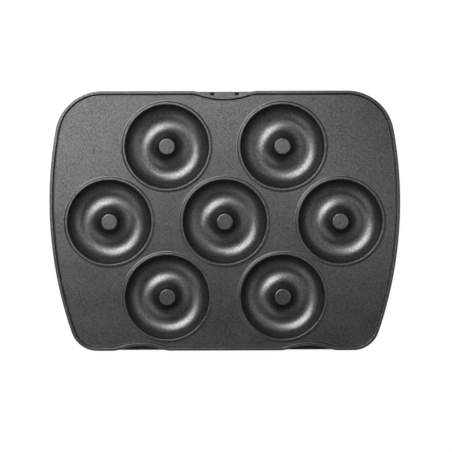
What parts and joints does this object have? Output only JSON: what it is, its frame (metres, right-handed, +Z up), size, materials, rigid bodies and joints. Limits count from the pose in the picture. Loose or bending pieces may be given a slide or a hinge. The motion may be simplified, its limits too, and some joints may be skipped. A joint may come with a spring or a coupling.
{
  "type": "donut baking plate",
  "caption": "Removable non-stick baking plate for a snack maker, with ring-shaped donut moulds around centre posts, a raised rim, bowed sides and recessed clip ledges.",
  "frame": {"origin": "on the surface the plate lies on, under the middle of its outline", "axes": "+X to the right along the long side, +Y to the edge with the single latch bay, +Z up out of the cooking side"},
  "size_m": [0.25, 0.1852, 0.0152],
  "materials": {
    "cast_aluminium": "as cast, satin, with fine grain",
    "nonstick_coat": "satin fluoropolymer coat with a fine granular texture"
  },
  "bodies": {
    "root": {"plate_casting": "cast_aluminium", "nonstick_coating": "nonstick_coat"}
  },
  "joints": []
}
